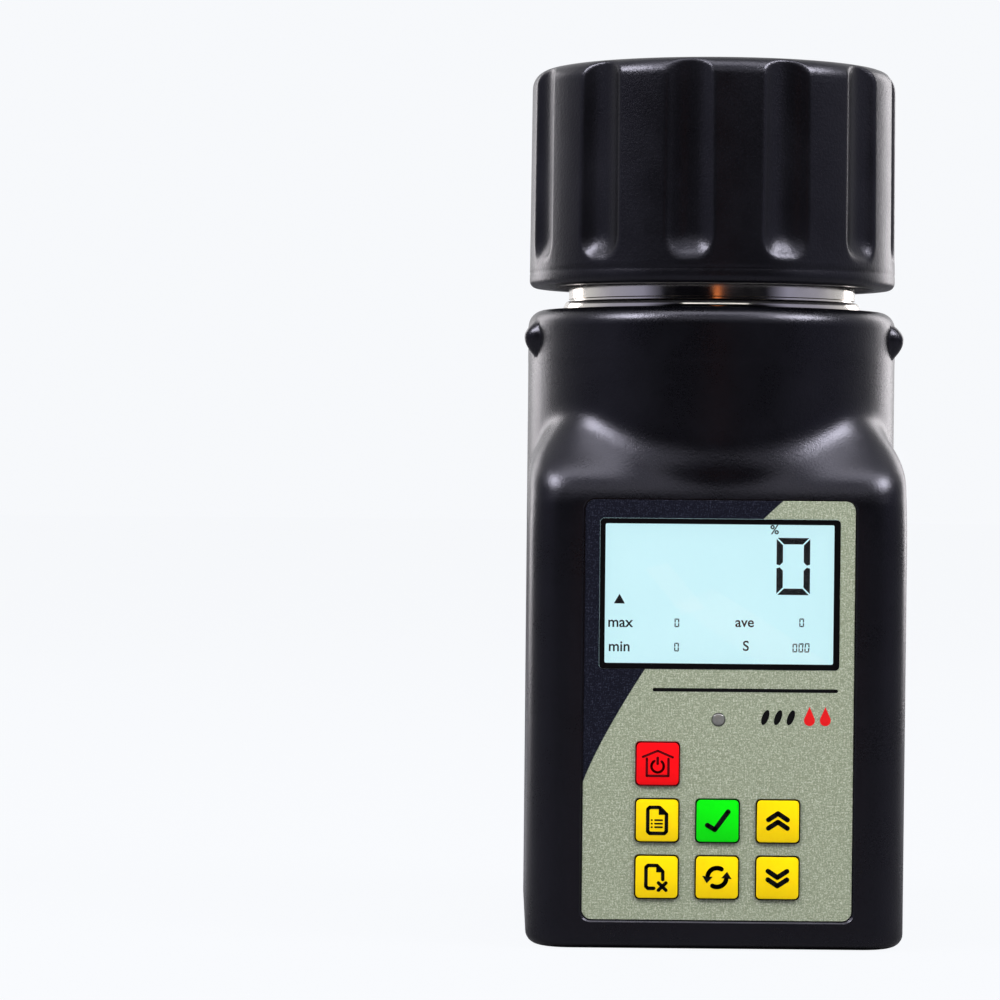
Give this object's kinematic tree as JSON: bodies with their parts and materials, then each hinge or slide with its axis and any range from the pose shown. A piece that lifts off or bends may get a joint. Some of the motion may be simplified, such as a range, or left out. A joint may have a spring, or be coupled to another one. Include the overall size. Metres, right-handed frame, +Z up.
{
  "type": "grain moisture meter",
  "caption": "Handheld grain moisture meter: box body with display and keys, round neck with metal measuring cup, fluted screw cap with a sprung pressure plate.",
  "frame": {"origin": "centre of the flat base that the meter stands on", "axes": "+Z up along the cup and cap axis, the display and keys face -Y, +X to the right seen from the front"},
  "size_m": [0.09, 0.092, 0.203],
  "materials": {
    "case_plastic": "black moulded plastic, satin with a fine spark texture",
    "cap_plastic": "black moulded plastic, satin with a slightly coarser grain than the case",
    "inner_plastic": "dark moulded plastic",
    "collar_metal": "turned and polished nickel-plated metal",
    "steel": "zinc-plated steel",
    "spring_steel": "bright spring steel",
    "contact_metal": "plated contact pins",
    "seal_rubber": "black rubber and foam",
    "board": "green coated circuit board",
    "component_black": "black moulded components",
    "wire_coat": "coloured wire insulation",
    "lcd": "backlit display glass, pale cyan with black segments",
    "white_plastic": "white light guide",
    "window_clear": "clear hard-coated window",
    "label_film": "printed film, sage green and dark navy with a fine speckle",
    "led_grey": "smoked grey indicator lens",
    "battery_wrap": "plain printed wrap",
    "key_red": "red key, satin printed face",
    "key_yellow": "yellow key, satin printed face",
    "key_green": "green key, satin printed face",
    "indicator_red": "red moulded button"
  },
  "bodies": {
    "case": {"front_shell": "case_plastic", "rear_shell": "case_plastic", "threaded_collar": "collar_metal", "collar_seal": "seal_rubber", "collar_nut": "steel", "cup_sleeve": "collar_metal", "cup_base": "inner_plastic", "cup_studs": "steel", "centre_electrode": "collar_metal", "electrode_nut": "steel", "temperature_probe": "collar_metal", "sensor_board": "board", "signal_leads": "wire_coat", "main_board": "board", "board_screws": "steel", "lcd_panel": "lcd", "lcd_backlight": "white_plastic", "lcd_pins": "contact_metal", "display_window": "window_clear", "label_overlay": "label_film", "key_switches": "component_black", "indicator_led": "led_grey", "buzzer": "component_black", "battery_tray": "inner_plastic", "battery_1": "battery_wrap", "battery_2": "battery_wrap", "battery_3": "battery_wrap", "battery_4": "battery_wrap", "battery_contacts": "spring_steel", "battery_leads": "wire_coat", "housing_screws": "steel"},
    "cap": {"cap_shell": "cap_plastic", "cap_insert": "inner_plastic", "seat_retainer": "inner_plastic", "retainer_screws": "steel"},
    "spring_seat": {"spring_seat": "steel", "pressure_spring": "spring_steel"},
    "plunger": {"pressure_plate": "collar_metal", "plunger_stem": "collar_metal", "plate_screw": "steel", "stem_clip": "spring_steel", "pressure_indicator": "indicator_red"},
    "battery_door": {"battery_door": "case_plastic", "door_pad": "seal_rubber"},
    "key_power": {"key_power": "key_red"},
    "key_record": {"key_record": "key_yellow"},
    "key_delete": {"key_delete": "key_yellow"},
    "key_ok": {"key_ok": "key_green"},
    "key_cycle": {"key_cycle": "key_yellow"},
    "key_up": {"key_up": "key_yellow"},
    "key_down": {"key_down": "key_yellow"}
  },
  "joints": [
    {"name": "cap_lift", "type": "slide", "parent": "case", "child": "spring_seat", "axis": [0, 0, 1], "range_m": [-0.0045, 0.054]},
    {"name": "cap_turn", "type": "hinge", "parent": "spring_seat", "child": "cap", "pos_m": [0, 0, 0.2], "axis": [0, 0, 1], "range_deg": [-360, 4320]},
    {"name": "plunger_press", "type": "slide", "parent": "spring_seat", "child": "plunger", "axis": [0, 0, 1], "range_m": [0, 0.005], "stiffness_N_per_m": 2500, "springref_m": -0.003, "deforming": ["pressure_spring"]},
    {"name": "battery_door_hinge", "type": "hinge", "parent": "case", "child": "battery_door", "pos_m": [0, 0.0448, 0.0085], "axis": [-1, 0, 0], "range_deg": [0, 75]},
    {"name": "key_power_press", "type": "slide", "parent": "case", "child": "key_power", "axis": [0, 1, 0], "range_m": [0, 0.0004], "stiffness_N_per_m": 1500, "springref_m": -0.0003},
    {"name": "key_record_press", "type": "slide", "parent": "case", "child": "key_record", "axis": [0, 1, 0], "range_m": [0, 0.0004], "stiffness_N_per_m": 1500, "springref_m": -0.0003},
    {"name": "key_delete_press", "type": "slide", "parent": "case", "child": "key_delete", "axis": [0, 1, 0], "range_m": [0, 0.0004], "stiffness_N_per_m": 1500, "springref_m": -0.0003},
    {"name": "key_ok_press", "type": "slide", "parent": "case", "child": "key_ok", "axis": [0, 1, 0], "range_m": [0, 0.0004], "stiffness_N_per_m": 1500, "springref_m": -0.0003},
    {"name": "key_cycle_press", "type": "slide", "parent": "case", "child": "key_cycle", "axis": [0, 1, 0], "range_m": [0, 0.0004], "stiffness_N_per_m": 1500, "springref_m": -0.0003},
    {"name": "key_up_press", "type": "slide", "parent": "case", "child": "key_up", "axis": [0, 1, 0], "range_m": [0, 0.0004], "stiffness_N_per_m": 1500, "springref_m": -0.0003},
    {"name": "key_down_press", "type": "slide", "parent": "case", "child": "key_down", "axis": [0, 1, 0], "range_m": [0, 0.0004], "stiffness_N_per_m": 1500, "springref_m": -0.0003}
  ],
  "couplings": [
    {"joint": "cap_lift", "follows": "cap_turn", "m_per_rad": 0.000716}
  ]
}
